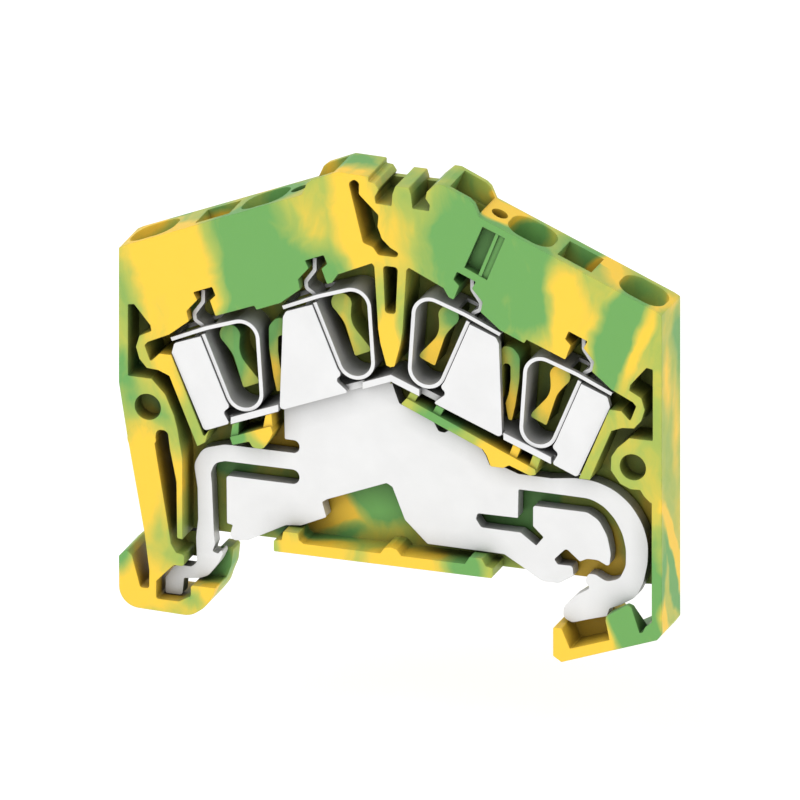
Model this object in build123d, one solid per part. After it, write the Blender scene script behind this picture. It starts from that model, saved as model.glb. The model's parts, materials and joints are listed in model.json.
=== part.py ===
from build123d import *
import math
import os

# Four-conductor protective-earth terminal block for a 35 mm mounting rail, in mm.
# x runs across the rail, y along the rail from the open face to the closed back,
# z away from the wall. Outlines are (x, z) points on the block's own mid-line.

# Overall sizes
THICKNESS = 5.1
FRONT = -THICKNESS / 2
RAIL_OFFSET = 0.6
BASE_LEVEL = -0.66
TO_RAIL = Location((-RAIL_OFFSET, 0, -BASE_LEVEL))

# Depths behind the open face
FLOOR = 3.1
CLAMP_FLOOR = 4.15
SHALLOW = 1.8
BACK_POCKET = 4.2
HUMP_SLOT_DEPTH = 3.6
RIB_SLOT_DEPTH = 3.4
SLOT_BACK_FRONT = 4.4

# Roof, clamp and bar slopes
SLOPE = 22.5
PITCH = 11.5
ROOF_START = (8.45, 34.05)
ROOF_END = (25.3, 27.05)
ROOF_FALL = (ROOF_START[1] - ROOF_END[1]) / (ROOF_END[0] - ROOF_START[0])

# Wire funnels, driver shafts and test holes in the roof
FUNNEL_X = (12.72, 23.3)
FUNNEL_MOUTH = (4.6, 4.1, 1.6)
FUNNEL_THROAT = (2.9, 3.1, 1.3)
FUNNEL_DEPTH = 9.2
SHAFT_X = (6.7, 17.25)
SHAFT_MOUTH = (3.5, 3.5)
SHAFT_FOOT = (2.5, 3.2)
SHAFT_DEPTH = 9.2
CHIMNEY = (3.5, 4.1, 3.5)
TEST_X = 9.56
TEST_R = 0.78
TEST_DEPTH = 6.0

# Round sockets near both sides
SOCKET = (23.1, 11.75)
SOCKET_R = 1.25

# Release foot
FOOT_PIVOT = (-23.7, 8.6)
NECK_R = 1.25
NECK_GAP = 0.1

# Sheet metal parts
STRIP = 0.35
STRIP_FRONT = 0.3
STRIP_WIDTH = 3.4
WINDOW_RAIL = 0.45
LUG_INSET = 0.55
BAR_PEAK = 17.7
BAR_FALL = 0.395
BAR_HEIGHT = 0.66
BAR_GAP = 0.04
BAR_WIDE = (0.15, 3.95)
BAR_NARROW = (0.85, 3.4)
GUIDE_FRONT = (0.15, 0.75)
GUIDE_BACK = (3.5, 4.1)
GUIDE_BACK_INSET = 0.95
WEB = (0.26, 0.76)
PLATE = (1.3, 2.7)

# Corner roundings
EDGE = 0.12
SLOT_ROUND = 0.4
RIB_SLOT_ROUND = 0.35
FOOT_ROUND = 0.25
LIP_ROUND = 0.1
FLANGE_ROUND = 0.35
PLATE_ROUND = 0.28
LEG_ROUND = 0.3
ARM_ROUND = 0.5
MOST_ROUND = 0.49
FLATTEST = 86
SHARPEST = 4

# How far cuts run past a face and joined pieces run into each other
PAST = 1.0
LAP = 0.1
MOUTH_LIFT = 0.02


def rounded(points, radius):
    """Closed outline through the points; a third value at a point is its own corner radius."""
    count = len(points)
    ends = []
    for i in range(count):
        before = Vector(*points[i - 1][:2])
        corner = Vector(*points[i][:2])
        after = Vector(*points[(i + 1) % count][:2])
        wanted = points[i][2] if len(points[i]) > 2 else radius
        to_before = before - corner
        to_after = after - corner
        u = to_before.normalized()
        v = to_after.normalized()
        half = math.radians(u.get_angle(v)) / 2
        straight = half > math.radians(FLATTEST)
        if wanted <= 0 or straight or half < math.radians(SHARPEST):
            ends.append((corner, corner, corner))
            continue
        longest = MOST_ROUND * min(to_before.length, to_after.length)
        reach = min(wanted / math.tan(half), longest)
        middle = (u + v).normalized()
        near = reach / math.cos(half) - reach * math.tan(half)
        ends.append((corner + u * reach, corner + middle * near, corner + v * reach))
    edges = []
    for i in range(count):
        start, mid, end = ends[i]
        if (end - start).length > 1e-6:
            edges.append(ThreePointArc(start, mid, end))
        following = ends[(i + 1) % count][0]
        edges.append(Line(end, following))
    return make_face(edges)


def stand(sketch, front, back):
    """Stand a flat outline up between two depths behind the open face."""
    plane = Plane.XZ.offset(-(FRONT + front))
    return extrude(plane * sketch, amount=-(back - front))


def slab(points, front, back, radius=0.0):
    return stand(rounded(points, radius), front, back)


def flip(points):
    """The same outline on the other side of the mid-line."""
    return [(-point[0], *point[1:]) for point in reversed(points)]


def shift(points, step):
    return [(point[0] + step[0], point[1] + step[1], *point[2:]) for point in points]


def other_side(part):
    return mirror(part, about=Plane.YZ)


def bar_top(x):
    return BAR_PEAK - BAR_FALL * abs(x)


def bar_under(x):
    return bar_top(x) - BAR_HEIGHT


def below_bar(x):
    return bar_under(x) - BAR_GAP


def roof_plane(x):
    """Plane on the roof at x, its z axis pointing out of the block."""
    height = ROOF_START[1] - ROOF_FALL * (abs(x) - ROOF_START[0])
    side = math.copysign(1, x)
    tilt = math.radians(SLOPE)
    out = (side * math.sin(tilt), 0, math.cos(tilt))
    along = (math.cos(tilt), 0, -side * math.sin(tilt))
    return Plane(origin=(x, 0, height), x_dir=along, z_dir=out)


STEP = (
    -PITCH * math.cos(math.radians(SLOPE)),
    -PITCH * math.sin(math.radians(SLOPE)),
)

# ---------------------------------------------------------------- housing

LEFT_WALL = [
    (-25.03, 8.6),
    (-25.85, 13.8),
    (-25.85, 26.75),
    (-25.3, 27.05),
    (-8.45, 34.05),
    (-7.95, 35.2),
    (-7.5, 35.6),
    (-5.05, 36.68),
    (-2.1, 36.62),
    (-2.1, 36.1),
    (-1.5, 36.05),
    (-1.12, 35.5),
    (-1.5, 34.7),
    (-1.4, 34.1),
]
FINS = [
    (0.12, 34.05),
    (0.2, 35.2),
    (0.48, 36.02),
    (1.75, 36.02),
    (1.95, 35.4),
    (2.1, 34.05),
    (3.7, 34.0),
    (3.75, 34.6),
    (3.35, 35.2),
    (3.48, 35.85),
    (4.4, 36.7),
]
RIGHT_WALL = [
    (5.05, 36.68),
    (7.5, 35.6),
    (7.95, 35.2),
    (8.45, 34.05),
    (25.3, 27.05),
    (25.85, 26.75),
    (25.85, -4.0),
    (25.4, -4.65),
    (16.3, -7.9),
    (15.5, -7.4),
    (15.5, -4.65),
    (16.3, -4.65),
    (17.1, -6.52),
    (21.0, -5.15),
    (22.2, -4.95),
    (23.1, -4.45),
    (23.75, -4.15),
    (24.0, -4.1),
    (24.3, -3.5),
    (24.9, -3.0),
    (24.9, -0.45),
]
LOWER_EDGE = [
    (22.9, -0.62),
    (-19.82, -0.62),
    (-20.3, -0.55),
    (-20.36, 4.9),
    (-21.0, 8.0),
    (-21.2, 9.68, 0.5),
    (-22.3, 9.68, 0.5),
    (-22.4, 8.6),
]
SLOT_FLOOR = [
    (-20.3, -0.62),
    (-20.2, 4.9),
    (-21.0, 9.8),
    (-22.25, 9.8),
    (-22.28, 8.2),
    (-21.75, 5.0),
    (-20.85, -0.62),
]

# Cavity that holds the two left-hand clamps, upper edge first from the middle rib outwards
CLAMP_CAVITY = [
    (0.0, 18.5),
    (-0.38, 18.6),
    (-0.95, 20.7),
    (-1.15, 22.0),
    (-1.52, 28.0),
    (-1.75, 28.3),
    (-5.05, 26.78),
    (-5.55, 25.95),
    (-6.02, 25.75),
    (-6.55, 27.15),
    (-6.02, 27.7),
    (-6.35, 28.5),
    (-8.15, 27.75),
    (-7.78, 27.05),
    (-8.8, 25.85),
    (-8.6, 24.9),
    (-10.45, 23.38),
    (-12.75, 22.42),
    (-12.95, 22.8),
    (-16.65, 21.33),
    (-17.18, 22.75),
    (-16.65, 23.3),
    (-16.98, 24.1),
    (-18.78, 23.35),
    (-18.4, 22.65),
    (-19.42, 21.45),
    (-19.2, 20.5),
    (-21.07, 18.98),
    (-23.1, 18.02),
    (-23.42, 17.65),
    (-22.85, 16.15),
    (-22.0, 17.02),
    (-20.88, 17.02),
    (-17.75, 9.5),
    (-17.3, 10.2),
    (0.0, 16.9),
]
SIDE_POCKET = [
    (-18.38, 8.55),
    (-21.05, 15.0),
    (-22.1, 15.42),
    (-23.2, 15.5),
    (-23.9, 16.3),
    (-24.22, 17.4),
    (-23.9, 18.5),
    (-22.75, 19.1),
    (-22.85, 19.65),
    (-24.4, 21.5),
    (-25.0, 21.4),
    (-25.0, 14.52),
    (-22.75, 14.5),
]
LEFT_CHANNEL = [
    (-21.45, 13.15),
    (-20.6, 11.2),
    (-20.3, 10.0),
    (-19.82, 7.2),
    (-19.7, 5.5),
]
RIGHT_CHANNEL = [
    (-21.6, 13.4),
    (-21.05, 12.5),
    (-21.0, 11.2),
    (-21.9, 10.0),
    (-22.9, 9.6),
    (-23.8, 9.65),
    (-24.15, 9.1),
    (-24.9, 8.4),
    (-24.0, 6.0),
]
RAIL_SPACE = [
    (-19.82, -1.2),
    (-19.82, 7.3),
    (-19.0, 8.4),
    (-18.38, 8.55),
    (-17.65, 9.0),
    (-17.3, 10.2),
    (0.0, 16.9),
    (17.3, 10.2),
    (18.0, 10.02),
    (20.5, 10.02),
    (22.4, 9.5),
    (24.9, 8.5),
    (24.9, -1.2),
]

HUMP_SLOT = [
    (-3.98, 35.75),
    (-3.48, 36.2),
    (-2.98, 35.9),
    (-3.0, 34.8),
    (-1.12, 33.0),
    (-1.22, 31.9),
    (-0.8, 30.75),
    (0.0, 30.0),
    (0.8, 29.6),
    (0.62, 29.15),
    (-1.15, 29.15),
    (-1.65, 29.85),
    (-2.6, 30.15),
]
RIB_SLOT = [(-0.7, 28.2), (0.72, 28.2), (0.5, 23.65), (-0.5, 23.65)]
TAG_WINDOW = [(8.78, 33.15), (10.35, 32.53), (8.6, 28.31), (7.05, 29.0)]
TAG_STEP = [(10.3, 32.55), (10.92, 32.3), (9.2, 28.05), (8.55, 28.34)]
TAG_RIB = [(10.13, 32.9), (10.42, 32.78), (8.58, 28.1), (8.27, 28.2)]
TAG_DEPTH = 1.0
TAG_STEP_DEPTH = 0.25
TAG_RIB_FRONT = 0.05
SLOT_BACK = [(-1.7, 33.8), (4.0, 33.8), (4.0, 35.2), (-1.7, 35.2)]

BASE = [
    (-11.1, -0.66),
    (-11.1, 0.38),
    (-10.35, 0.5),
    (-10.2, 1.35),
    (-8.8, 1.35),
    (-8.7, 0.7),
    (-8.3, 0.4),
    (-0.95, 0.4),
    (-0.6, 0.95),
    (0.0, 1.12),
    (0.6, 0.95),
    (1.05, 0.4),
    (7.1, 0.4),
    (7.55, 1.13),
    (8.7, 1.13),
    (9.1, 0.42),
    (9.75, 0.3),
    (9.75, -0.5),
    (9.6, -0.66),
]
LEFT_BEAM = [
    (-15.28, 9.85),
    (-15.05, 9.08),
    (-13.45, 9.62, 0.2),
    (-13.1, 9.05, 0.5),
    (-12.1, 9.05, 0.6),
    (-11.55, 9.95, 0.5),
    (-11.2, 10.7, 0.3),
    (-11.4, 11.35),
    (-14.5, 10.1),
]
RIGHT_BEAM = [
    (1.0, 15.05),
    (8.8, 11.67),
    (9.2, 11.1),
    (9.55, 10.12),
    (10.75, 10.12),
    (11.3, 10.45),
    (13.3, 9.7),
    (13.85, 9.85),
    (13.8, 10.35),
    (1.55, 15.68),
]
LEFT_STRUTS = [
    [(-15.28, 9.8), (-14.55, 10.05), (-14.5, below_bar(14.5)), (-15.1, below_bar(15.1))],
    [(-12.2, 11.0), (-11.3, 11.2), (-11.4, below_bar(11.4)), (-11.95, below_bar(11.95))],
]
STRUT_X = (1.45, 3.9, 11.2, 13.1)
STRUT_WIDTH = 0.72
STRUT_FRONT = 0.25
LEFT_STRUT_FRONT = 0.2
BEAM_START = (1.55, 15.5)
BEAM_FALL = 0.434
STRUT_LEAN = 0.42

# Posts inside and between the right-hand clamps
INNER_HEAD = (5.1, 23.58)
INNER_HEAD_R = 0.97
INNER_STEM = [
    (4.16, 23.6),
    (4.24, 21.75, 3.0),
    (2.45, 19.72, 0.4),
    (2.28, 19.3, 0.25),
    (3.8, 18.62, 0.15),
    (4.8, 21.75, 2.4),
    (6.0, 23.2),
]
OUTER_POST = [
    (10.1, 20.95, 0.5),
    (10.4, 21.45, 0.6),
    (11.25, 21.45, 0.9),
    (11.95, 20.6, 1.0),
    (11.92, 18.4, 6.0),
    (11.5, 15.75, 4.0),
    (11.18, 14.35, 0.1),
    (10.85, 14.45, 0.1),
    (10.6, 15.9, 0.3),
    (10.1, 17.0, 1.0),
]
OUTER_POST_SLOT = [
    (10.35, 19.8, 0.3),
    (11.07, 19.8, 0.35),
    (11.07, 18.3, 5.0),
    (10.9, 16.9, 2.0),
    (10.5, 15.7, 0.15),
    (10.35, 16.2, 0.3),
]
POST_FRONT = 1.3
OUTER_POST_FRONT = 1.1

RIGHT_FOOT_BACK = [
    (15.5, -4.7),
    (15.7, -3.6),
    (16.3, -2.9),
    (17.7, -1.85),
    (18.5, -2.1),
    (20.7, -3.6),
    (21.0, -5.3),
    (17.1, -6.6),
    (15.6, -5.5),
]
FINGER = [
    (20.9, -5.3),
    (20.5, -3.4, 0.3),
    (20.55, -2.95, 0.3),
    (22.55, -1.62, 0.2),
    (22.95, -1.8, 0.2),
    (23.75, -4.2),
    (23.75, -4.6),
]
FINGER_REACH = 6.0
FINGER_TIP_Z = -1.2
FINGER_TIP_DEPTH = 0.3
FINGER_ROOT_Z = -5.4
FINGER_ROOT_DEPTH = 2.9
BACK_RECESSES = [
    [(-17.5, 0.8), (-1.5, 0.8), (-1.5, 12.5), (-10.5, 9.0), (-17.5, 8.0)],
    [(1.5, 0.8), (22.5, 0.8), (22.5, 7.5), (12.0, 9.0), (1.5, 13.0)],
    [(-23.8, 16.5), (-22.4, 16.5), (-22.4, 20.0), (-23.8, 21.0)],
    [(22.4, 16.5), (23.8, 16.5), (23.8, 21.0), (22.4, 20.0)],
]


def funnel(x):
    mouth = RectangleRounded(FUNNEL_MOUTH[0], FUNNEL_MOUTH[1], FUNNEL_MOUTH[2])
    throat = RectangleRounded(FUNNEL_THROAT[0], FUNNEL_THROAT[1], FUNNEL_THROAT[2])
    plane = roof_plane(x)
    return loft([plane.offset(MOUTH_LIFT) * mouth, plane.offset(-FUNNEL_DEPTH) * throat])


def shaft(x):
    mouth = Rectangle(SHAFT_MOUTH[0], SHAFT_MOUTH[1])
    foot = Rectangle(SHAFT_FOOT[0], SHAFT_FOOT[1])
    plane = roof_plane(x)
    return loft([plane.offset(MOUTH_LIFT) * mouth, plane.offset(-SHAFT_DEPTH) * foot])


def chimney(x):
    """Wider top of a driver shaft where it opens through the raised middle."""
    length, width, rise = CHIMNEY
    return roof_plane(x) * Pos(0, 0, (rise - PAST) / 2) * Box(length, width, rise + PAST)


def beam_line(x):
    """Height of a line inside the right-hand beam."""
    return BEAM_START[1] - BEAM_FALL * (x - BEAM_START[0])


def cross_strut(x):
    """Strut between the right-hand beam and the current bar."""
    right = x + STRUT_WIDTH
    outline = [
        (x, beam_line(x)),
        (right, beam_line(right)),
        (right + STRUT_LEAN, below_bar(right + STRUT_LEAN)),
        (x + STRUT_LEAN, below_bar(x + STRUT_LEAN)),
    ]
    return slab(outline, STRUT_FRONT, FLOOR)


def build_inner_post():
    """Post with a round head that stands inside a right-hand clamp."""
    post = slab(INNER_STEM, POST_FRONT, CLAMP_FLOOR + LAP)
    head = Pos(*INNER_HEAD) * Circle(INNER_HEAD_R)
    return post + stand(head, POST_FRONT, CLAMP_FLOOR + LAP)


def build_finger():
    """Finger of the fixed foot, thinner towards its tip."""
    finger = slab(FINGER, 0, FLOOR)
    back = [
        (FINGER_TIP_Z, FINGER_TIP_DEPTH),
        (FINGER_ROOT_Z, FINGER_ROOT_DEPTH),
        (FINGER_ROOT_Z, THICKNESS),
        (FINGER_TIP_Z, THICKNESS),
    ]
    wedge = make_face(Polyline(*[(FRONT + d, z) for z, d in back], close=True))
    side = Plane.YZ.offset(FINGER[0][0] - PAST)
    return finger - extrude(side * wedge, amount=FINGER_REACH)


def build_housing():
    body = slab(LEFT_WALL + FINS + RIGHT_WALL + LOWER_EDGE, 0, THICKNESS, EDGE)
    left_pocket = SIDE_POCKET + LEFT_CHANNEL
    right_pocket = flip(SIDE_POCKET + RIGHT_CHANNEL)
    cavity = slab(CLAMP_CAVITY, -PAST, CLAMP_FLOOR, EDGE)
    body -= cavity
    body -= other_side(cavity)
    body -= slab(left_pocket, -PAST, FLOOR, EDGE)
    body -= slab(right_pocket, -PAST, FLOOR, EDGE)
    body -= slab(RAIL_SPACE, -PAST, FLOOR)

    for points in LEFT_STRUTS:
        body += slab(points, LEFT_STRUT_FRONT, FLOOR)
    for x in STRUT_X:
        body += cross_strut(x)
    body += slab(LEFT_BEAM, 0, FLOOR, EDGE)
    body += slab(RIGHT_BEAM, 0, FLOOR, EDGE)
    body += slab(BASE, 0, FLOOR + LAP, EDGE)
    body += slab(SLOT_FLOOR, FLOOR, THICKNESS)
    body += slab(SLOT_BACK, SLOT_BACK_FRONT, THICKNESS)
    body += slab(RIGHT_FOOT_BACK, FLOOR, THICKNESS)
    body += build_finger()

    inner = build_inner_post()
    outer = slab(OUTER_POST, OUTER_POST_FRONT, CLAMP_FLOOR + LAP)
    outer -= slab(OUTER_POST_SLOT, 0, CLAMP_FLOOR)
    for post in (inner, outer, Pos(-STEP[0], 0, STEP[1]) * inner):
        body += post
        body += other_side(post)

    for side in (-1, 1):
        for x in FUNNEL_X:
            body -= funnel(side * x)
        for x in SHAFT_X:
            body -= shaft(side * x)
        body -= chimney(side * SHAFT_X[0])
        body -= roof_plane(side * TEST_X) * Cylinder(TEST_R, 2 * TEST_DEPTH)
        socket = Pos(side * SOCKET[0], SOCKET[1]) * Circle(SOCKET_R)
        body -= stand(socket, -PAST, SHALLOW)

    body -= slab(HUMP_SLOT, -PAST, HUMP_SLOT_DEPTH, SLOT_ROUND)
    body -= slab(RIB_SLOT, -PAST, RIB_SLOT_DEPTH, RIB_SLOT_ROUND)
    body -= slab(TAG_WINDOW, -PAST, TAG_DEPTH)
    body -= slab(TAG_STEP, -PAST, TAG_STEP_DEPTH)
    body += slab(TAG_RIB, TAG_RIB_FRONT, TAG_DEPTH + LAP)
    neck = Pos(*FOOT_PIVOT) * Circle(NECK_R + NECK_GAP)
    body -= stand(neck, -PAST, THICKNESS + PAST)
    for points in BACK_RECESSES:
        body -= slab(points, BACK_POCKET, THICKNESS + PAST, SLOT_ROUND)
    return body


# ------------------------------------------------------------ release foot

FOOT = [
    (-24.92, 8.6),
    (-23.4, -0.5),
    (-22.95, -4.0),
    (-22.97, -5.75),
    (-23.8, -5.75),
    (-24.62, -2.75),
    (-25.15, -2.25),
    (-25.85, -2.95),
    (-25.82, -7.7, 1.9),
    (-19.0, -7.9, 2.0),
    (-17.75, -7.0, 2.0),
    (-16.95, -5.9, 2.0),
    (-16.65, -4.95, 0.1),
    (-19.0, -4.95),
    (-19.0, -6.0),
    (-20.15, -6.65),
    (-22.3, -6.65),
    (-22.3, -4.95),
    (-20.65, -3.2),
    (-19.65, -3.2),
    (-19.65, -2.1),
    (-20.4, -2.0),
    (-20.9, -1.2),
    (-21.3, 1.3),
    (-21.92, 5.0),
    (-22.45, 8.2),
    (-22.46, 8.6),
]
FOOT_LIP = [
    (-21.0, -0.95),
    (-20.7, -3.3),
    (-19.0, -3.3),
    (-19.0, -5.1),
    (-16.7, -5.1),
    (-16.2, -3.8, 1.5),
    (-16.05, -2.3, 0.15),
    (-16.25, -2.05),
    (-17.15, -2.05),
    (-17.9, -2.9),
    (-19.4, -2.9),
    (-19.6, -0.95),
]


def build_foot():
    foot = slab(FOOT, 0, THICKNESS, FOOT_ROUND)
    foot += slab(FOOT_LIP, FLOOR, THICKNESS, LIP_ROUND)
    foot += stand(Pos(*FOOT_PIVOT) * Circle(NECK_R), 0, THICKNESS)
    return foot


# ------------------------------------------------------------ earth plate

EARTH_PLATE = [
    (-10.55, below_bar(10.55)),
    (-0.42, below_bar(0.42)),
    (0.4, 14.57),
    (3.7, 13.2, 0.1),
    (4.15, 12.35, 0.3),
    (4.75, 12.3, 0.3),
    (5.2, 12.62, 0.1),
    (8.25, 11.2, 0.3),
    (8.65, 10.6, 0.3),
    (9.05, 9.6, 0.3),
    (10.4, 9.68, 0.8),
    (11.75, 9.2, 0.8),
    (14.95, 9.17, 0),
    (14.95, 7.72, 0),
    (11.75, 7.72, 0.15),
    (11.7, 4.95, 0.1),
    (7.85, 4.92, 0.25),
    (7.7, 4.35, 0.25),
    (8.2, 3.6, 0.4),
    (11.95, 3.57, 0.2),
    (13.45, 2.5, 0.12),
    (14.15, 3.4, 0.12),
    (13.15, 4.35, 0.12),
    (13.15, 6.32, 0.25),
    (18.3, 6.32, 1.0),
    (19.4, 5.7, 1.5),
    (20.2, 4.3, 2.5),
    (20.55, 2.6, 2.0),
    (20.4, 1.32, 0.25),
    (19.3, 1.85, 1.0),
    (18.3, 1.85, 1.0),
    (17.6, 1.5, 0.2),
    (16.3, 2.6, 0.3),
    (15.15, 1.4, 0.2),
    (15.5, 0.95, 0.2),
    (16.9, 0.97, 0.3),
    (17.0, 0.0, 0.35),
    (15.6, -0.85, 0.8),
    (14.0, -0.85, 1.2),
    (12.35, 0.17, 3.0),
    (10.4, 1.3, 0.6),
    (3.1, 1.37, 0.2),
    (0.95, 3.42, 0.2),
    (-0.25, 6.45, 0.3),
    (-0.8, 6.75, 0.3),
    (-6.5, 4.45, 0.2),
    (-6.95, 4.15, 0.2),
    (-6.55, 2.72, 0.15),
    (-8.95, 1.62, 0.5),
    (-10.4, 1.47, 0.3),
    (-13.95, -0.42, 0.5),
    (-15.4, -0.62, 0.4),
    (-15.7, -0.1, 0.15),
    (-15.45, 0.85, 0.1),
    (-16.0, 0.95, 0.15),
    (-16.05, 5.52, 0.25),
    (-9.1, 5.52, 0.68),
    (-9.1, 6.92, 0.68),
    (-12.0, 6.92, 0),
    (-12.0, 8.52, 0),
    (-9.1, 8.52, 0.6),
    (-9.1, 9.75, 0.55),
    (-10.5, 9.77, 0.15),
]
EARTH_LEG = [
    (-12.2, 8.52, 0),
    (-16.2, 8.52, 2.5),
    (-18.3, 7.9, 1.6),
    (-19.15, 6.3, 1.6),
    (-18.8, 4.0, 5.0),
    (-18.75, 1.0, 2.0),
    (-18.95, -0.8, 2.0),
    (-18.85, -3.2, 0.6),
    (-19.4, -3.66, 0.3),
    (-20.65, -3.63, 0.3),
    (-21.05, -3.83, 0.15),
    (-21.85, -5.0, 0.15),
    (-21.85, -6.5, 0.2),
    (-20.25, -6.5, 0.3),
    (-20.1, -4.85, 0.15),
    (-18.6, -4.66, 1.2),
    (-17.75, -4.3, 1.2),
    (-16.8, -3.0, 1.5),
    (-16.4, -2.1, 0.3),
    (-16.5, -1.63, 0.15),
    (-16.85, -2.1, 0.1),
    (-17.4, -1.95, 0.15),
    (-17.15, -1.2, 0.3),
    (-17.25, -0.3, 2.0),
    (-17.45, 4.5, 3.0),
    (-17.55, 5.6, 1.0),
    (-17.2, 6.6, 1.0),
    (-16.2, 6.92, 1.0),
    (-12.2, 6.92, 0),
]
EARTH_ARM = [
    (15.15, 9.18, 0),
    (17.1, 9.48, 4.0),
    (19.0, 9.45, 5.0),
    (20.9, 8.8, 5.0),
    (22.5, 7.55, 5.0),
    (23.6, 5.8, 5.0),
    (24.12, 4.0, 5.0),
    (24.05, 2.1, 5.0),
    (23.65, 0.2, 4.0),
    (22.95, -1.3, 2.0),
    (21.6, -2.12, 1.0),
    (20.4, -2.7, 0.2),
    (20.2, -3.44, 0.2),
    (18.5, -3.95, 1.0),
    (16.9, -4.47, 0.6),
    (16.05, -4.15, 0.6),
    (16.05, -3.1, 0.8),
    (17.2, -1.85, 2.0),
    (18.6, -0.95, 0.25),
    (18.1, -0.35, 0.4),
    (18.4, 0.42, 0.4),
    (19.1, 0.42, 0.6),
    (20.15, -0.15, 1.0),
    (21.4, 0.3, 1.0),
    (21.98, 1.6, 1.5),
    (22.0, 3.2, 3.0),
    (21.7, 4.6, 3.5),
    (21.0, 5.95, 3.5),
    (19.9, 7.1, 3.0),
    (18.6, 7.68, 3.0),
    (15.15, 7.72, 0),
]


# ------------------------------------------- current bar and wire guides

BAR_REACH = 17.85
BAR_SHOULDERS = ((-15.25, -10.72), (-2.7, 2.7), (10.72, 15.25))


def bar_strip(x0, x1, front, back):
    """Length of the roof-shaped current bar between two stations."""
    stations = [x0, 0.0, x1] if x0 < 0 < x1 else [x0, x1]
    top = [(x, bar_top(x)) for x in stations]
    under = [(x, bar_under(x)) for x in reversed(stations)]
    return slab(top + under, front, back)


def build_bar():
    bar = bar_strip(-BAR_REACH, BAR_REACH, BAR_NARROW[0], BAR_NARROW[1])
    for x0, x1 in BAR_SHOULDERS:
        bar += bar_strip(x0, x1, BAR_WIDE[0], BAR_WIDE[1])
    return bar


# Leg of the near left clamp, from its foot to its top
LOOP_CENTRE = (-3.4, 18.58)
LOOP_R = 1.65
LEG_TOP = 23.7
OUTWARD = (-math.cos(math.radians(SLOPE)), -math.sin(math.radians(SLOPE)))
UPWARD = (OUTWARD[1], -OUTWARD[0])
LEG_FOOT = (LOOP_CENTRE[0] + LOOP_R * OUTWARD[0], LOOP_CENTRE[1] + LOOP_R * OUTWARD[1])
LEG_LENGTH = (LEG_TOP - LEG_FOOT[1]) / UPWARD[1]


def beside_leg(distance, height):
    """Point at a height along the near left leg and a distance outwards from its middle."""
    x = LEG_FOOT[0] + UPWARD[0] * height + OUTWARD[0] * distance
    z = LEG_FOOT[1] + UPWARD[1] * height + OUTWARD[1] * distance
    return (x, z)


WEB_TOP = LEG_LENGTH - 0.1
WEB_LOW = 0.2
FLANGE_LIFT = 0.06
NEAR_FLANGE = [
    beside_leg(WEB[0], WEB_TOP),
    beside_leg(WEB[0], -WEB_LOW),
    (-4.7, 17.1),
    (-5.32, 16.55),
    (-4.2, 15.62),
    (-4.2, bar_under(4.2) + FLANGE_LIFT),
    (-10.6, bar_under(10.6) + FLANGE_LIFT),
    (-10.28, 22.0),
    (-10.0, 22.55),
]
FAR_FLANGE = [
    beside_leg(WEB[0], WEB_TOP),
    beside_leg(WEB[0], -WEB_LOW),
    (-4.72, 17.05),
    (-5.35, 16.5),
    (-5.0, 15.9),
    (-4.75, 15.45),
    (-7.15, 14.45),
    (-10.25, 21.6),
    (-10.0, 22.55),
]


def build_guide(flange):
    web = [
        beside_leg(WEB[0], WEB_TOP),
        beside_leg(WEB[0], WEB_LOW),
        beside_leg(WEB[1], WEB_LOW),
        beside_leg(WEB[1], WEB_TOP),
    ]
    guide = slab(flange, GUIDE_FRONT[0], GUIDE_FRONT[1], FLANGE_ROUND)
    back = slab(flange, GUIDE_BACK[0], GUIDE_BACK[1], FLANGE_ROUND)
    guide += back & Pos(GUIDE_BACK_INSET, 0, 0) * back
    guide += slab(web, GUIDE_FRONT[0], GUIDE_BACK[1])
    return guide


# ------------------------------------------------------------ cage clamps

SIDE_LEAN = 4.4
LOOP_SPLIT = 1.0
TOP_CENTRE = (-3.7, 23.78)
TOP_R = 1.6
TOP_END = 105
TONGUE = [(-10.35, 22.83), (-7.0, 24.33), (-4.75, 25.11)]
CREST = [(-4.65, 25.15), (-4.11, 25.33)]
LUG = [(-8.25, 24.75), (-8.35, 25.4), (-7.5, 26.6), (-7.5, 27.75)]
LUG_BEND = 0.4
LUG_ROOT = 0.5
LUG_RISE = 0.7
TONGUE_BEND = 6.0
WINDOW = (-9.75, -6.25)
WINDOW_HEIGHT = (21.5, 26.0)


def on_circle(centre, radius, angle):
    turn = math.radians(angle)
    return (centre[0] + radius * math.cos(turn), centre[1] + radius * math.sin(turn))


def strip(path, front, back):
    return stand(trace(path, line_width=STRIP), front, back)


def build_clamp_leg():
    start = SIDE_LEAN - LOOP_SPLIT
    bend = CenterArc(LOOP_CENTRE, LOOP_R, start, -(180 - SLOPE + start))
    rise = Line(bend @ 1, beside_leg(0, LEG_LENGTH))
    leg = strip(Curve() + [bend, rise], STRIP_FRONT, STRIP_FRONT + STRIP_WIDTH)
    lug_start = beside_leg(0, LEG_LENGTH - LUG_ROOT)
    lug_neck = beside_leg(0, LEG_LENGTH + LUG_RISE)
    lug_path = FilletPolyline(lug_start, lug_neck, *LUG, radius=LUG_BEND)
    back = STRIP_FRONT + STRIP_WIDTH - LUG_INSET
    leg += strip(lug_path, STRIP_FRONT + LUG_INSET, back)
    return leg


def build_clamp_loop():
    side = Line(on_circle(LOOP_CENTRE, LOOP_R, SIDE_LEAN), on_circle(TOP_CENTRE, TOP_R, SIDE_LEAN))
    bend = CenterArc(TOP_CENTRE, TOP_R, SIDE_LEAN, TOP_END - SIDE_LEAN)
    crest = Line(CREST[1], CREST[0])
    return strip(Curve() + [side, bend, crest], STRIP_FRONT, STRIP_FRONT + STRIP_WIDTH)


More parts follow.
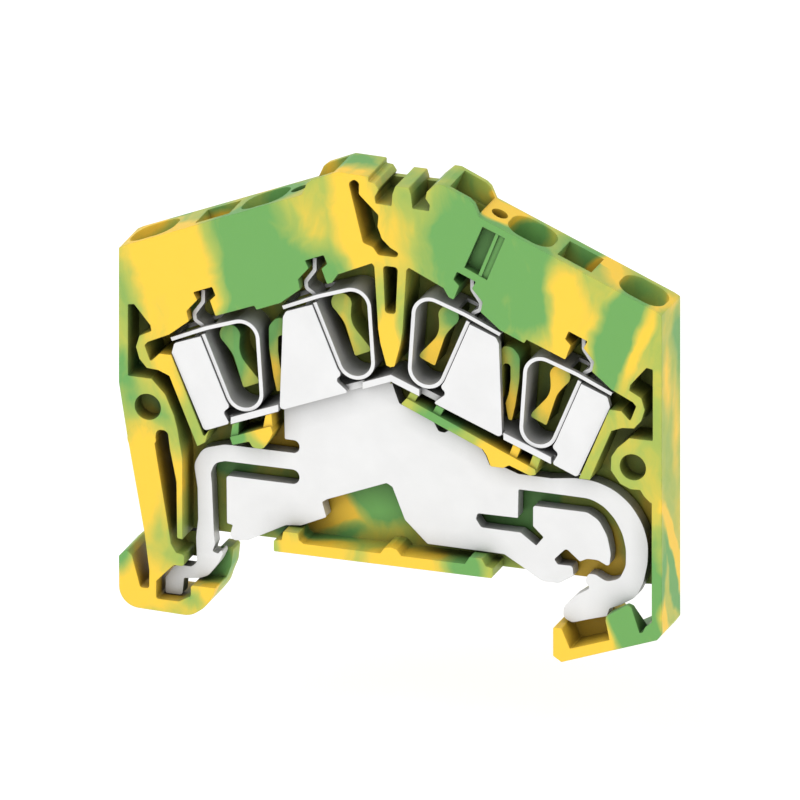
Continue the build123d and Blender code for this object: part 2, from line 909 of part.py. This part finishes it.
def build_clamp_tongue():
    path = FilletPolyline(*TONGUE, radius=TONGUE_BEND)
    tongue = strip(path, STRIP_FRONT, STRIP_FRONT + STRIP_WIDTH)
    window = [
        (WINDOW[0], WINDOW_HEIGHT[0]),
        (WINDOW[1], WINDOW_HEIGHT[0]),
        (WINDOW[1], WINDOW_HEIGHT[1]),
        (WINDOW[0], WINDOW_HEIGHT[1]),
    ]
    back = STRIP_FRONT + STRIP_WIDTH - WINDOW_RAIL
    return tongue - slab(window, STRIP_FRONT + WINDOW_RAIL, back)


# ---------------------------------------------------------------- assembly

def four_places(near_left, far_left):
    """The four positions from left to right: far left, near left, near right, far right."""
    return (
        Pos(STEP[0], 0, STEP[1]) * far_left,
        near_left,
        other_side(near_left),
        other_side(Pos(STEP[0], 0, STEP[1]) * far_left),
    )


def build_nodes():
    nodes = {
        "housing": build_housing(),
        "release_foot": build_foot(),
        "current_bar": build_bar(),
        "earth_plate": slab(EARTH_PLATE, PLATE[0], PLATE[1], PLATE_ROUND),
        "earth_leg": slab(EARTH_LEG, PLATE[0], PLATE[1], LEG_ROUND),
        "earth_arm": slab(EARTH_ARM, PLATE[0], PLATE[1], ARM_ROUND),
    }
    families = {
        "conductor_guide": (build_guide(NEAR_FLANGE), build_guide(FAR_FLANGE)),
        "clamp_leg": (build_clamp_leg(), build_clamp_leg()),
        "clamp_loop": (build_clamp_loop(), build_clamp_loop()),
        "clamp_tongue": (build_clamp_tongue(), build_clamp_tongue()),
    }
    for name, (near, far) in families.items():
        for number, part in enumerate(four_places(near, far), start=1):
            nodes[f"{name}_{number}"] = part
    return nodes


os.makedirs("parts", exist_ok=True)
for name, part in build_nodes().items():
    export_step(TO_RAIL * part, f"parts/{name}.step")
    box = part.bounding_box()
    print(name, len(part.solids()), round(part.volume, 2), box.min, box.max)
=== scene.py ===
import json
import math

import bmesh
import bpy
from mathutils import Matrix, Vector


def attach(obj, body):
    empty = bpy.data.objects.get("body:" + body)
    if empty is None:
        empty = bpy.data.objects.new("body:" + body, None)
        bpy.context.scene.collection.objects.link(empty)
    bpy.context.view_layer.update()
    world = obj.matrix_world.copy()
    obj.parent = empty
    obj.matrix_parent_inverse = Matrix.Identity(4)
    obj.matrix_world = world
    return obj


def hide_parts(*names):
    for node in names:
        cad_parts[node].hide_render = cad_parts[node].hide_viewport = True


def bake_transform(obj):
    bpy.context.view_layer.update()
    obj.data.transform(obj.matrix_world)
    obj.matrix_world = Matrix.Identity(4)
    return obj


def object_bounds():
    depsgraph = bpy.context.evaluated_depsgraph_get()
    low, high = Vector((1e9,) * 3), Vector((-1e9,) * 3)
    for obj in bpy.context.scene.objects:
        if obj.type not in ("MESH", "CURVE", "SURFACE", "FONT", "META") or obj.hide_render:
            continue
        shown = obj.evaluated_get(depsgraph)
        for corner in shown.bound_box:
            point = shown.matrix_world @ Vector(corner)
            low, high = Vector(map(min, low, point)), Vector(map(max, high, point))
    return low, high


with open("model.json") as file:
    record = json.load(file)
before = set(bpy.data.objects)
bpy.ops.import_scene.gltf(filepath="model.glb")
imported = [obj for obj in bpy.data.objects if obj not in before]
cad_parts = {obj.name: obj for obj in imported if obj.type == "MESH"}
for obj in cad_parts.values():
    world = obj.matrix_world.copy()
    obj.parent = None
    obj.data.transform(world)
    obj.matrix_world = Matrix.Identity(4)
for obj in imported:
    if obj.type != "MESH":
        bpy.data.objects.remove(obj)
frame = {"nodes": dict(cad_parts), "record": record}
cad_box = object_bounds()

MM = 0.001
NODES = frame["nodes"]

# The block's own coordinates start at its symmetry line and the bottom of its base, at the open face
BLOCK_X = -0.6
BLOCK_Y = -2.55
BLOCK_Z = 0.66

# Camera: an orthographic view from the right of the open face and above
AZIMUTH = 19.1
ELEVATION = 21.1
VIEW_WIDTH = 0.0720
VIEW_CENTRE = (-0.56 * MM, 0.0, 15.06 * MM)
CAMERA_DISTANCE = 0.4

# Studio: an even white world and two soft lights
WORLD_STRENGTH = 0.90
LIGHTS = [
    # name, azimuth, elevation, distance, size and power
    ("key", -25, 50, 0.35, 0.25, 0.30),
    ("front", 30, 25, 0.35, 0.30, 0.12),
]

# Floor: pale, and with a faint glow so that it stays white away from the lights
FLOOR_DROP = 0.012
FLOOR_HALF = 1.0
FLOOR_SHADE = 0.95
FLOOR_ROUGHNESS = 0.8
FLOOR_GLOW = 0.2

# Neck of the release foot, as (x, z) in block millimetres. Its round end in the CAD is a little
# smaller than its socket, and the visual piece fills the socket, because the two are one moulding.
NECK = (-23.7, 8.6)
NECK_R = 1.25
NECK_FILLED_R = 1.355
NECK_AROUND = 1.8

# Stretches, as x from and x to, over which the earth plate's leg and its spring arm bend
LEG_BEND = (-12.0, -16.4)
ARM_BEND = (14.95, 16.6)
PLATE_CUTS = 10

# Inner left clamp: middle of its loop, the loop's lower end and the end of the tongue at the upper
# bend, with the steps that close the two gaps there. The outer clamp sits one pitch further out.
PITCH = (-10.6246, -4.4008)
SLOPE = math.radians(22.5)
LOOP_CENTRE = (-3.4, 18.58)
LOOP_FOOT = (-1.755, 18.707)
LOOP_FOOT_SHIFT = (0.002, -0.03)
TONGUE_END = (-4.75, 25.11)
TONGUE_SHIFT = (0.1, 0.04)
END_REACH = 0.25
LOOP_RISE = (-0.3, 6.3)
LOOP_CUTS = 14

# Tolerances on the meshes
SAME_POINT = 0.0005 * MM
SAME_FACE = 0.01 * MM
SMOOTH_BELOW = math.radians(30)


def block_point(x, z, depth=2.55):
    """Point of the shared frame, in metres, from block millimetres."""
    return Vector(((x + BLOCK_X) * MM, (depth + BLOCK_Y) * MM, (z + BLOCK_Z) * MM))


def linear(red, green, blue):
    """Screen colour, 0 to 255, as linear values."""
    result = []
    for value in (red, green, blue):
        share = value / 255
        result.append(share / 12.92 if share < 0.04045 else ((share + 0.055) / 1.055) ** 2.4)
    return (*result, 1)


# ------------------------------------------------------- camera and light

def view_direction(azimuth, elevation):
    """Unit vector from the object towards the camera."""
    a = math.radians(azimuth)
    e = math.radians(elevation)
    return Vector((math.sin(a) * math.cos(e), -math.cos(a) * math.cos(e), math.sin(e)))


def point_at(obj, target):
    direction = obj.location - Vector(target)
    obj.rotation_euler = direction.to_track_quat("Z", "Y").to_euler()


def make_camera():
    data = bpy.data.cameras.new("camera")
    data.type = "ORTHO"
    data.ortho_scale = VIEW_WIDTH
    camera = bpy.data.objects.new("camera", data)
    bpy.context.scene.collection.objects.link(camera)
    camera.location = Vector(VIEW_CENTRE) + CAMERA_DISTANCE * view_direction(AZIMUTH, ELEVATION)
    point_at(camera, VIEW_CENTRE)
    bpy.context.scene.camera = camera


def area_light(name, azimuth, elevation, distance, size, power):
    data = bpy.data.lights.new(name, "AREA")
    data.size = size
    data.energy = power
    light = bpy.data.objects.new(name, data)
    bpy.context.scene.collection.objects.link(light)
    light.location = Vector(VIEW_CENTRE) + distance * view_direction(azimuth, elevation)
    point_at(light, VIEW_CENTRE)


def make_world(strength):
    world = bpy.data.worlds.new("studio")
    bpy.context.scene.world = world
    world.use_nodes = True
    background = world.node_tree.nodes["Background"]
    background.inputs["Color"].default_value = (1, 1, 1, 1)
    background.inputs["Strength"].default_value = strength


def make_floor():
    mesh = bpy.data.meshes.new("floor")
    low = cad_box[0][2] - FLOOR_DROP
    half = FLOOR_HALF
    corners = [(-half, -half, low), (half, -half, low), (half, half, low), (-half, half, low)]
    mesh.from_pydata(corners, [], [(0, 1, 2, 3)])
    floor = bpy.data.objects.new("floor", mesh)
    bpy.context.scene.collection.objects.link(floor)
    material = bpy.data.materials.new("floor")
    material.use_nodes = True
    shader = material.node_tree.nodes["Principled BSDF"]
    shader.inputs["Base Color"].default_value = (FLOOR_SHADE, FLOOR_SHADE, FLOOR_SHADE, 1)
    shader.inputs["Roughness"].default_value = FLOOR_ROUGHNESS
    shader.inputs["Emission Color"].default_value = (1, 1, 1, 1)
    shader.inputs["Emission Strength"].default_value = FLOOR_GLOW
    mesh.materials.append(material)


# --------------------------------------------------------------- materials

class Nodes:
    """Short way to build a material's node tree."""

    def __init__(self, name):
        self.material = bpy.data.materials.new(name)
        self.material.use_nodes = True
        self.tree = self.material.node_tree
        self.shader = self.tree.nodes["Principled BSDF"]

    def add(self, kind, settings=None, **inputs):
        node = self.tree.nodes.new(kind)
        for key, value in (settings or {}).items():
            setattr(node, key, value)
        for key, value in inputs.items():
            self.set(node, key.replace("_", " "), value)
        return node

    def set(self, node, key, value):
        socket = node.inputs[int(key)] if key.isdigit() else node.inputs[key]
        if isinstance(value, bpy.types.NodeSocket):
            self.tree.links.new(value, socket)
        else:
            socket.default_value = value

    def math(self, operation, a, b=0.0, c=0.0, clamp=False):
        node = self.add("ShaderNodeMath", {"operation": operation, "use_clamp": clamp})
        for index, value in enumerate((a, b, c)):
            self.set(node, str(index), value)
        return node.outputs[0]

    def place(self):
        return self.add("ShaderNodeTexCoord").outputs["Object"]

    def scaled(self, vector, scale, turn=(0, 0, 0)):
        node = self.add("ShaderNodeMapping", Vector=vector)
        node.inputs["Scale"].default_value = scale
        node.inputs["Rotation"].default_value = turn
        return node.outputs[0]

    def noise(self, vector, scale, detail=2.0, roughness=0.5, distortion=0.0):
        return self.add("ShaderNodeTexNoise", Vector=vector, Scale=scale, Detail=detail,
                        Roughness=roughness, Distortion=distortion)

    def ramp(self, value, stops):
        node = self.add("ShaderNodeValToRGB", Fac=value)
        elements = node.color_ramp.elements
        while len(elements) < len(stops):
            elements.new(0.5)
        for element, (position, colour) in zip(elements, stops):
            element.position = position
            element.color = colour
        return node.outputs["Color"]

    def bump(self, height, strength, distance, normal=None):
        node = self.add("ShaderNodeBump", Height=height, Strength=strength, Distance=distance)
        if normal is not None:
            self.set(node, "Normal", normal)
        return node.outputs[0]

    def round_edges(self, radius):
        return self.add("ShaderNodeBevel", {"samples": 4}, Radius=radius).outputs[0]

    # Painted shade: ambient occlusion multiplied into the base colour darkens hollows, creases and
    # gaps between parts
    def shaded_folds(self, colour, reach, power):
        """The colour with painted shade: darker where walls stand close around a point, by ambient
        occlusion.
        """
        unshaded_share = self.add("ShaderNodeAmbientOcclusion", {"samples": 6}, Distance=reach)
        share = self.math("POWER", unshaded_share.outputs["AO"], power)
        node = self.add("ShaderNodeMix", {"data_type": "RGBA", "blend_type": "MULTIPLY"})
        node.inputs["Factor"].default_value = 1.0
        self.tree.links.new(colour, node.inputs["A"])
        self.tree.links.new(share, node.inputs["B"])
        return node.outputs["Result"]

    def warped(self, vector, scale, reach):
        """The vector pushed about by a slow noise, by up to the reach each way."""
        noise = self.noise(vector, scale, 1.5)
        centred = self.add("ShaderNodeVectorMath", {"operation": "SUBTRACT"})
        self.set(centred, "0", noise.outputs["Color"])
        centred.inputs[1].default_value = (0.5, 0.5, 0.5)
        sized = self.add("ShaderNodeVectorMath", {"operation": "SCALE"})
        self.set(sized, "0", centred.outputs[0])
        sized.inputs["Scale"].default_value = 2 * reach
        moved = self.add("ShaderNodeVectorMath", {"operation": "ADD"})
        self.set(moved, "0", vector)
        self.set(moved, "1", sized.outputs[0])
        return moved.outputs[0]

    def cloud(self, vector, centre, size, tilt=0, lean=0):
        """Soft ellipsoid: 1 in the middle and 0 outside."""
        node = self.add("ShaderNodeMapping", {"vector_type": "TEXTURE"}, Vector=vector)
        node.inputs["Location"].default_value = block_point(centre[0], centre[2], centre[1])
        node.inputs["Rotation"].default_value = (math.radians(lean), -math.radians(tilt), 0)
        node.inputs["Scale"].default_value = [value * MM for value in size]
        ball = self.add("ShaderNodeTexGradient", {"gradient_type": "SPHERICAL"},
                        Vector=node.outputs[0])
        return ball.outputs["Fac"]


# The two mixed pigments and what they make together, with their places on the colour ramp
YELLOW = linear(241, 199, 66)
LIME = linear(172, 183, 84)
GREEN = linear(108, 163, 89)
PIGMENTS = [(0.24, YELLOW), (0.5, LIME), (0.76, GREEN)]

# Depths of the clouds: right through the block, near the open face, and behind the back wall
ALL = 60
FACE = 3.4
BACK = 5.8
BACK_REACH = 1.4

# Clouds of pigment, in block millimetres: middle (x, depth, z), half sizes, tilt in degrees and
# strength. Above zero is greener than lime and below zero is yellower.
CLOUDS = [
    # upper left of the open face
    ((-20.4, 0, 24.5), (5.2, FACE, 10.5), 8, -1.9),
    ((-22.5, 0, 28.0), (5.0, FACE, 4.0), 0, -1.0),
    ((-20.8, 0, 15.2), (1.6, ALL, 4.0), 10, -1.0),
    ((-25.0, 0, 22.0), (2.2, ALL, 4.5), 12, 0.5),
    ((-12.7, 0, 27.0), (5.6, FACE, 9.5), 12, 2.4),
    ((-14.1, 0, 28.4), (0.45, FACE, 1.7), 38, -0.9),
    ((-8.4, 0, 31.2), (4.8, FACE, 5.0), 0, -0.6),
    ((-6.8, 0, 27.2), (3.6, FACE, 3.4), 0, 1.1),
    ((-3.4, 0, 33.2), (3.0, FACE, 8.0), 10, -2.0),
    # middle and upper right
    ((0.6, 0, 31.0), (2.4, FACE, 6.0), 0, -0.8),
    ((1.6, 0, 35.0), (2.2, FACE, 2.6), 0, 0.5),
    ((9.5, 0, 29.5), (7.6, FACE, 10.0), -8, 2.6),
    ((13.6, 0, 25.0), (3.2, FACE, 4.5), 10, 0.6),
    ((16.9, 0, 26.0), (2.2, FACE, 7.0), 6, -1.9),
    ((15.4, 0, 22.0), (2.8, FACE, 3.0), 0, -1.0),
    ((19.2, 0, 24.6), (0.9, FACE, 4.0), -6, -0.7),
    ((21.9, 0, 24.0), (2.7, FACE, 7.5), -12, 2.2),
    ((23.4, 0, 23.0), (1.1, FACE, 6.0), -22, -2.0),
    ((25.3, 0, 17.0), (1.5, ALL, 5.0), 0, 0.2),
    # left wall, release foot
    ((-25.4, 0, 15.3), (1.8, ALL, 2.2), 0, 1.3),
    ((-24.4, 0, 12.8), (2.4, FACE, 2.6), 0, 0.8),
    ((-24.0, 0, 4.4), (3.6, ALL, 7.0), -6, -1.9),
    ((-20.4, 0, 4.0), (1.4, ALL, 4.5), -6, -1.2),
    ((-21.6, 0, 11.6), (2.4, ALL, 1.6), 0, 0.7),
    ((-22.5, 0, -5.5), (6.0, ALL, 3.6), 0, -1.5),
    ((-25.6, 0, -3.4), (1.4, ALL, 2.0), 0, 1.4),
    ((-19.2, 0, -6.4), (1.6, ALL, 1.2), 0, 1.0),
    ((-17.6, 3.4, -3.6), (2.0, 2.6, 2.6), 0, 1.8),
    ((-16.6, 0, -3.8), (2.2, 1.6, 3.6), 0, -2.0),
    # tops
    ((-4.6, 3.0, 36.9), (3.4, 2.8, 2.4), 0, 2.0),
    ((-8.0, 3.0, 35.2), (2.0, 2.8, 1.8), 0, -1.8),
    ((3.6, 3.0, 36.0), (4.2, 2.8, 2.6), 0, 0.9),
    ((10.8, 3.0, 32.9), (4.4, 2.8, 2.2), 0, -2.2),
    ((9.2, 2.3, 33.9), (2.6, 2.5, 1.4), -22, -6.0),
    ((11.9, 3.2, 31.2), (2.6, 2.4, 2.0), 0, 4.0),
    ((16.6, 3.2, 30.4), (2.4, 3.0, 2.6), 0, 1.9),
    ((20.2, 3.2, 29.0), (2.2, 3.0, 1.6), 0, -1.1),
    ((22.4, 3.0, 26.4), (2.4, 2.8, 2.0), 0, 1.6),
    ((25.0, 3.0, 27.2), (1.4, 2.8, 1.6), 0, -0.9),
    ((-11.5, 3.2, 32.4), (5.0, 3.0, 2.6), 0, 1.7),
    ((-17.0, 3.0, 29.4), (2.0, 2.6, 1.5), 22, -3.5),
    ((-17.6, 3.2, 30.4), (2.6, 3.0, 1.4), 0, 1.3),
    ((-24.0, 3.2, 27.6), (3.6, 3.0, 2.0), 0, -1.4),
    ((-23.4, 3.4, 26.9), (2.6, 2.2, 1.3), 22, 1.8),
    ((18.4, 4.0, 28.6), (1.7, 1.7, 1.7), 0, -6.0),
    # base, struts and beams
    ((-8.5, 2.6, 0.6), (5.5, 1.6, 1.4), 0, 2.8),
    ((-13.7, 0, -1.4), (1.3, 2.0, 1.2), 0, 1.6),
    ((-13.0, 0, -1.0), (2.4, 3.5, 2.5), 0, 1.0),
    ((-7.5, 0, -0.5), (4.4, 3.5, 2.5), 0, -2.0),
    ((1.6, 0, -0.5), (4.4, 3.5, 2.5), 0, -2.0),
    ((7.6, 0, -0.3), (2.6, 3.5, 2.5), 0, 2.0),
    ((4.9, 0, 14.2), (3.0, 2.4, 2.4), 0, 1.8),
    ((10.8, 0, 11.0), (3.6, 3.0, 2.4), 0, -2.3),
    ((-14.6, 0, 9.9), (1.2, 3.5, 1.6), 0, 1.8),
    ((-10.5, 0, 11.6), (3.8, 3.5, 2.6), -22, -2.3),
    # right foot and right wall
    ((18.0, 0, -6.0), (4.2, ALL, 4.0), 0, -2.6),
    ((22.7, 0, -3.6), (2.0, ALL, 2.8), 0, 2.3),
    ((25.0, 0, -0.5), (1.6, 1.3, 7.5), 0, 2.8),
    ((24.2, 0, 8.5), (1.6, ALL, 4.0), -12, -0.6),
    # posts and the ribs in the middle
    ((-15.7, 0, 18.0), (2.4, 3.8, 5.0), 0, 3.2),
    ((-4.9, 0, 19.8), (2.0, 3.8, 2.8), 0, -1.9),
    ((4.4, 0, 19.6), (2.0, 3.8, 2.6), 0, -1.9),
    ((5.2, 0, 23.6), (1.6, 3.8, 1.6), 0, 1.0),
    ((15.2, 0, 17.5), (2.4, 3.8, 4.6), 0, -2.2),
    ((-11.6, 0, 20.6), (1.3, 3.8, 2.4), 0, 1.4),
    ((-11.4, 0, 16.0), (1.3, 3.8, 2.6), 0, -1.6),
    ((11.6, 0, 20.6), (1.3, 3.8, 2.4), 0, 1.4),
    ((11.4, 0, 16.0), (1.3, 3.8, 2.6), 0, -1.6),
    ((0.0, 0, 20.5), (1.8, 3.8, 4.0), 0, -1.7),
    # closed back wall, as seen through the gaps
    ((-7.6, 3.6, 2.2), (5.0, 1.6, 3.4), 20, -3.0),
    ((-2.4, 3.6, 4.6), (4.6, 1.6, 3.8), 0, 3.4),
    ((11.5, 3.6, 6.0), (7.0, 1.6, 4.0), 0, 3.0),
    ((18.6, 3.6, 1.5), (3.6, 1.6, 5.0), 0, -3.0),
    ((-11.0, 3.6, 8.6), (3.6, 1.6, 2.6), 0, -2.6),
    ((-15.9, 3.6, 6.4), (2.4, 1.6, 2.4), 0, 2.6),
    ((-6.0, 3.6, 9.0), (3.0, 1.6, 2.0), 0, -2.0),
    # outside of the back
    ((-19.5, BACK, 18.5), (5.0, BACK_REACH, 15.0), 14, 7.0),
    ((-10.5, BACK, 22.0), (5.0, BACK_REACH, 17.0), 18, -7.0),
    ((-0.5, BACK, 17.0), (5.5, BACK_REACH, 19.0), 24, 7.0),
    ((9.0, BACK, 24.0), (4.6, BACK_REACH, 14.0), 12, -7.0),
    ((14.5, BACK, 14.0), (4.8, BACK_REACH, 17.0), -10, 7.0),
    ((21.8, BACK, 14.5), (3.4, BACK_REACH, 13.0), 4, -7.0),
    ((5.5, BACK, 5.0), (5.5, BACK_REACH, 5.0), 30, -7.0),
]
# Clouds on the right end wall, which lean along the block's thickness instead
END_CLOUDS = [
    ((26.3, 2.7, 3.9), (2.4, 1.2, 7.5), 28, -2.8),
    ((26.3, 2.9, 0.6), (2.4, 1.0, 6.5), 27, 3.0),
    ((26.3, 1.0, -3.6), (2.4, 1.5, 4.5), 20, -2.8),
    ((26.0, 3.6, -6.8), (2.4, 2.2, 2.4), 0, -2.8),
    ((26.3, 3.9, 14.5), (2.2, 1.5, 6.0), 8, -1.1),
    ((26.3, 1.4, 19.5), (2.2, 1.5, 5.0), -6, -0.9),
    ((26.3, 4.4, 22.5), (2.2, 1.5, 4.5), 10, 1.4),
]
CLOUD_SHARE = 0.33

# How far the melt's flow pulls the clouds about: scale and reach of a slow and of a quick warp
SLOW_WARP = (150, 1.6 * MM)
QUICK_WARP = (620, 0.35 * MM)

# Streaks of unmixed pigment, drawn out upwards
STREAKS = 0.52
STREAK_SCALE = 420
STREAK_STRETCH = (1.0, 0.5, 0.35)
STREAK_TURN = (0, 0.5, 0)

# Painted shade in hollows, for plastic and for metal: how far the occlusion looks, and the power on
# its darkening
PLASTIC_PAINTED_SHADE = (3.0 * MM, 0.85)
PLASTIC_EDGE = 0.11 * MM
METAL_PAINTED_SHADE = (2.6 * MM, 1.0)
METAL_SHARE = 0.35
METAL_LINES = 5200
TINNED_SHADE = 0.745
TINNED_ROUGHNESS = 0.42
TINNED_TURN = (0, 0.2, 0)
TINNED_EDGE = 0.05 * MM
STEEL_SHADE = 0.75
STEEL_ROUGHNESS = 0.36
STEEL_TURN = (0, 1.17, 0)
STEEL_EDGE = 0.04 * MM


def marbled_plastic():
    """Moulded plastic of two pigments: clouds and streaks, painted shade in hollows, a faint grain,
    sinks and soft edges.
    """
    nodes = Nodes("marbled_plastic")
    place = nodes.place()
    flow = nodes.warped(nodes.warped(place, *SLOW_WARP), *QUICK_WARP)
    total = 0.0
    for centre, size, tilt, strength in CLOUDS:
        total = nodes.math("MULTIPLY_ADD", nodes.cloud(flow, centre, size, tilt=tilt), strength, total)
    for centre, size, lean, strength in END_CLOUDS:
        total = nodes.math("MULTIPLY_ADD", nodes.cloud(flow, centre, size, lean=lean), strength, total)
    drawn_out = nodes.scaled(flow, STREAK_STRETCH, STREAK_TURN)
    streaks = nodes.noise(drawn_out, STREAK_SCALE, 4.0, 0.55, 0.6)
    total = nodes.math("MINIMUM", nodes.math("MAXIMUM", total, -1.0), 1.0)
    green = nodes.math("MULTIPLY_ADD", total, CLOUD_SHARE, 0.5 - STREAKS / 2)
    green = nodes.math("MULTIPLY_ADD", streaks.outputs[0], STREAKS, green, clamp=True)
    colour = nodes.ramp(green, PIGMENTS)
    # Base colour darkened by painted shade where walls stand close
    nodes.set(nodes.shader, "Base Color", nodes.shaded_folds(colour, *PLASTIC_PAINTED_SHADE))

    patches = nodes.noise(place, 900, 3.0, 0.6)
    rough = nodes.math("MULTIPLY_ADD", patches.outputs[0], 0.22, 0.34)
    nodes.set(nodes.shader, "Roughness", rough)
    nodes.shader.inputs["Specular IOR Level"].default_value = 0.2
    nodes.shader.inputs["Subsurface Weight"].default_value = 0.12
    nodes.shader.inputs["Subsurface Radius"].default_value = (1.0, 0.8, 0.3)
    nodes.shader.inputs["Subsurface Scale"].default_value = 0.4 * MM

    grain = nodes.noise(place, 5200, 3.0, 0.6)
    sink = nodes.noise(place, 260, 1.0)
    near_neck = nodes.cloud(place, (NECK[0], 0, NECK[1]), (NECK_AROUND, ALL, NECK_AROUND))
    elsewhere = nodes.math("LESS_THAN", near_neck, 0.001)
    edges = nodes.round_edges(nodes.math("MULTIPLY", elsewhere, PLASTIC_EDGE))
    waves = nodes.bump(sink.outputs[0], 0.25, 0.12 * MM, edges)
    nodes.set(nodes.shader, "Normal", nodes.bump(grain.outputs[0], 0.35, 0.012 * MM, waves))
    return nodes.material


def rolled_metal(name, shade, rough, turn, edge):
    """Plated or bright strip: fine rolling lines, faint cloudiness, painted shade in hollows and
    softened cut edges.
    """
    nodes = Nodes(name)
    place = nodes.place()
    light = (shade, shade, shade, 1)
    dark = [value * 0.95 for value in light[:3]] + [1]
    lines = nodes.noise(nodes.scaled(place, (0.12, 1.0, 1.0), turn), METAL_LINES, 4.0, 0.6)
    cloudy = nodes.noise(place, 320, 3.0, 0.55)
    colour = nodes.ramp(cloudy.outputs[0], [(0.3, dark), (0.7, light)])
    # Base colour darkened by painted shade where walls stand close
    nodes.set(nodes.shader, "Base Color", nodes.shaded_folds(colour, *METAL_PAINTED_SHADE))
    spread = nodes.math("MULTIPLY_ADD", lines.outputs[0], 0.16, rough - 0.08)
    nodes.set(nodes.shader, "Roughness", spread)
    nodes.shader.inputs["Metallic"].default_value = METAL_SHARE
    edges = nodes.round_edges(edge)
    waves = nodes.bump(cloudy.outputs[0], 0.2, 0.05 * MM, edges)
    nodes.set(nodes.shader, "Normal", nodes.bump(lines.outputs[0], 0.25, 0.006 * MM, waves))
    return nodes.material


# ---------------------------------------------------- pieces that bend

def copy_of(name, *sources):
    """New mesh object with the shapes of some CAD nodes, in the shared frame."""
    made = bmesh.new()
    for source in sources:
        made.from_mesh(NODES[source].data)
    bmesh.ops.remove_doubles(made, verts=made.verts, dist=SAME_POINT)
    mesh = bpy.data.meshes.new(name)
    made.to_mesh(mesh)
    made.free()
    obj = bpy.data.objects.new(name, mesh)
    bpy.context.scene.collection.objects.link(obj)
    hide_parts(*sources)
    return obj


def cut_across(obj, start, end, count):
    """Extra edge rings between two points, so that the piece bends smoothly."""
    cuts = bmesh.new()
    cuts.from_mesh(obj.data)
    for index in range(1, count):
        point = start.lerp(end, index / count)
        geometry = cuts.verts[:] + cuts.edges[:] + cuts.faces[:]
        bmesh.ops.bisect_plane(cuts, geom=geometry, dist=1e-7, plane_co=point,
                               plane_no=(end - start).normalized())
    cuts.to_mesh(obj.data)
    cuts.free()


def shift_end(obj, centre, shift):
    """Move the end face around a point of the side view by a small step."""
    centre_point = block_point(*centre)
    step = Vector((shift[0] * MM, 0, shift[1] * MM))
    for vertex in obj.data.vertices:
        away = vertex.co - centre_point
        away.y = 0
        behind = away.dot(step.normalized()) < 0.5 * step.length
        if away.length < END_REACH * MM and behind:
            vertex.co += step


def finish_piece(obj, material):
    """Flat faces stay flat and curved ones are smooth."""
    obj.data.materials.clear()
    obj.data.materials.append(material)
    stale = obj.data.attributes.get("custom_normal")
    if stale:
        obj.data.attributes.remove(stale)
    for polygon in obj.data.polygons:
        polygon.use_smooth = True
    obj.data.set_sharp_from_angle(angle=SMOOTH_BELOW)


def make_foot(material):
    """Release foot, with its neck filled out to meet the housing."""
    foot = copy_of("spring_foot", "release_foot")
    neck = block_point(*NECK)
    for vertex in foot.data.vertices:
        away = vertex.co - neck
        away.y = 0
        if abs(away.length - NECK_R * MM) < SAME_FACE:
            vertex.co += away.normalized() * (NECK_FILLED_R - NECK_R) * MM
    finish_piece(foot, material)
    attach(foot, "foot")


def make_plate_end(name, source, x_from, x_to, material):
    """Leg or arm of the earth plate, bent over a short length beside the plate."""
    piece = copy_of(name, source)
    inner = block_point(x_from, 0)
    ends = [vertex.co.x for vertex in piece.data.vertices]
    face = max(ends) if x_to < x_from else min(ends)
    for vertex in piece.data.vertices:
        if abs(vertex.co.x - face) < SAME_FACE:
            vertex.co.x = inner.x
    outer = block_point(x_to, 0)
    cut_across(piece, inner, outer, PLATE_CUTS)
    finish_piece(piece, material)
    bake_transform(piece)


def make_spring(number, material):
    """Bending side, upper bend and tongue of a clamp in one strip."""
    spring = copy_of(f"clamp_spring_{number}", f"clamp_loop_{number}", f"clamp_tongue_{number}")
    far = number in (1, 4)
    side = 1 if number < 3 else -1
    step = PITCH if far else (0, 0)

    def at(point):
        return (side * (point[0] + step[0]), point[1] + step[1])

    shift_end(spring, at(LOOP_FOOT), (side * LOOP_FOOT_SHIFT[0], LOOP_FOOT_SHIFT[1]))
    shift_end(spring, at(TONGUE_END), (side * TONGUE_SHIFT[0], TONGUE_SHIFT[1]))
    up = (-math.sin(SLOPE), math.cos(SLOPE))
    ends = []
    for rise in LOOP_RISE:
        point = (LOOP_CENTRE[0] + up[0] * rise, LOOP_CENTRE[1] + up[1] * rise)
        ends.append(block_point(*at(point)))
    cut_across(spring, ends[0], ends[1], LOOP_CUTS)
    finish_piece(spring, material)
    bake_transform(spring)


# ----------------------------------------------------------------- scene

make_camera()
make_world(WORLD_STRENGTH)
for light in LIGHTS:
    area_light(*light)
make_floor()
bpy.context.scene.view_settings.view_transform = "Standard"

plastic = marbled_plastic()
tinned = rolled_metal("tinned_metal", TINNED_SHADE, TINNED_ROUGHNESS, TINNED_TURN, TINNED_EDGE)
steel = rolled_metal("spring_steel", STEEL_SHADE, STEEL_ROUGHNESS, STEEL_TURN, STEEL_EDGE)
slots = {"marbled_plastic": plastic, "tinned_metal": tinned, "spring_steel": steel}
for entry in frame["record"]["subparts"]:
    node = NODES[entry["node"]]
    node.data.materials.clear()
    node.data.materials.append(slots[entry["material_slot"]])

make_foot(plastic)
make_plate_end("bending_leg", "earth_leg", LEG_BEND[0], LEG_BEND[1], tinned)
make_plate_end("bending_arm", "earth_arm", ARM_BEND[0], ARM_BEND[1], tinned)
for number in (1, 2, 3, 4):
    make_spring(number, steel)
